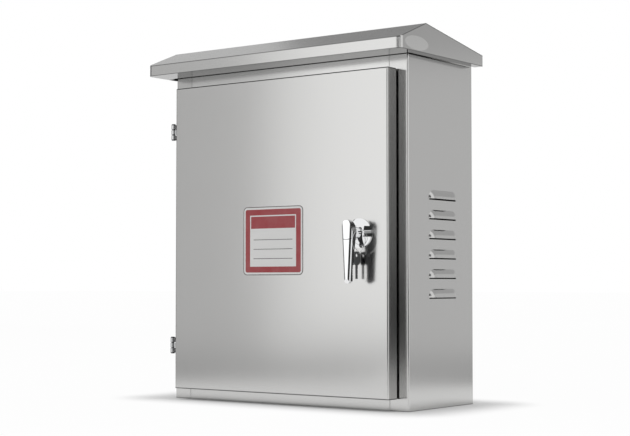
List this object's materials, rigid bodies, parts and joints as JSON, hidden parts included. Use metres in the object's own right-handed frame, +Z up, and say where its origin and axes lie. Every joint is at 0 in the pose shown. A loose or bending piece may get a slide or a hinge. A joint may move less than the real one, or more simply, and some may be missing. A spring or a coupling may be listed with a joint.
{
  "type": "meter box",
  "caption": "Stainless sheet-metal meter box with a gable rain hood, louvred sides, an overlay door on pin hinges and a lever lock with keys.",
  "frame": {"origin": "centre of the cabinet's base edge plane", "axes": "+Z up, the door faces -Y, +X to the right seen from the front"},
  "size_m": [0.542, 0.2668, 0.6243],
  "materials": {
    "brushed_steel": "satin brushed stainless sheet",
    "galvanised": "galvanised sheet with a soft spangle",
    "zinc": "zinc-plated steel fixings",
    "hinge_steel": "polished steel",
    "chrome": "bright chrome plate",
    "key_steel": "dull nickel key blank",
    "brass": "plain brass",
    "rubber": "black foam and rubber seals",
    "label_film": "printed plastic film with no lettering"
  },
  "bodies": {
    "cabinet": {"body_wrap": "brushed_steel", "top_panel": "brushed_steel", "bottom_panel": "brushed_steel", "hood": "brushed_steel", "hood_bracket_left": "brushed_steel", "hood_bracket_right": "brushed_steel", "hood_bolts": "zinc", "hood_nuts": "zinc", "mounting_plate": "galvanised", "plate_studs": "zinc", "plate_washers": "zinc", "plate_nuts": "zinc", "earth_stud": "brass", "earth_washer": "zinc", "earth_nut": "brass", "cable_grommet_left": "rubber", "cable_grommet_right": "rubber", "hinge_upper_frame_leaf": "hinge_steel", "hinge_upper_pin": "hinge_steel", "hinge_lower_frame_leaf": "hinge_steel", "hinge_lower_pin": "hinge_steel"},
    "door": {"door_panel": "brushed_steel", "door_stiffener": "brushed_steel", "door_gasket": "rubber", "door_earth_stud": "brass", "blank_label": "label_film", "hinge_upper_door_leaf": "hinge_steel", "hinge_lower_door_leaf": "hinge_steel", "lock_body": "chrome", "lock_back_nut": "zinc", "key_ring": "hinge_steel", "key_near": "key_steel", "key_far": "key_steel"},
    "lever": {"lever": "chrome", "cover_pin": "zinc", "cam": "zinc", "cam_washer": "zinc", "cam_screw": "zinc"},
    "keyhole_cover": {"keyhole_cover": "chrome"},
    "lock_plug": {"lock_plug": "brass"}
  },
  "joints": [
    {"name": "door_hinge", "type": "hinge", "parent": "cabinet", "child": "door", "pos_m": [-0.25, -0.108, 0.28565], "axis": [0, 0, -1], "range_deg": [0, 160]},
    {"name": "lever_turn", "type": "hinge", "parent": "door", "child": "lever", "pos_m": [0.175, -0.1288, 0.28565], "axis": [0, 1, 0], "range_deg": [0, 90]},
    {"name": "keyhole_cover_swing", "type": "hinge", "parent": "lever", "child": "keyhole_cover", "pos_m": [0.175, -0.1618, 0.29965], "axis": [0, 1, 0], "range_deg": [0, 120]},
    {"name": "lock_plug_turn", "type": "hinge", "parent": "lever", "child": "lock_plug", "pos_m": [0.175, -0.1588, 0.28565], "axis": [0, 1, 0], "range_deg": [0, 90]}
  ]
}
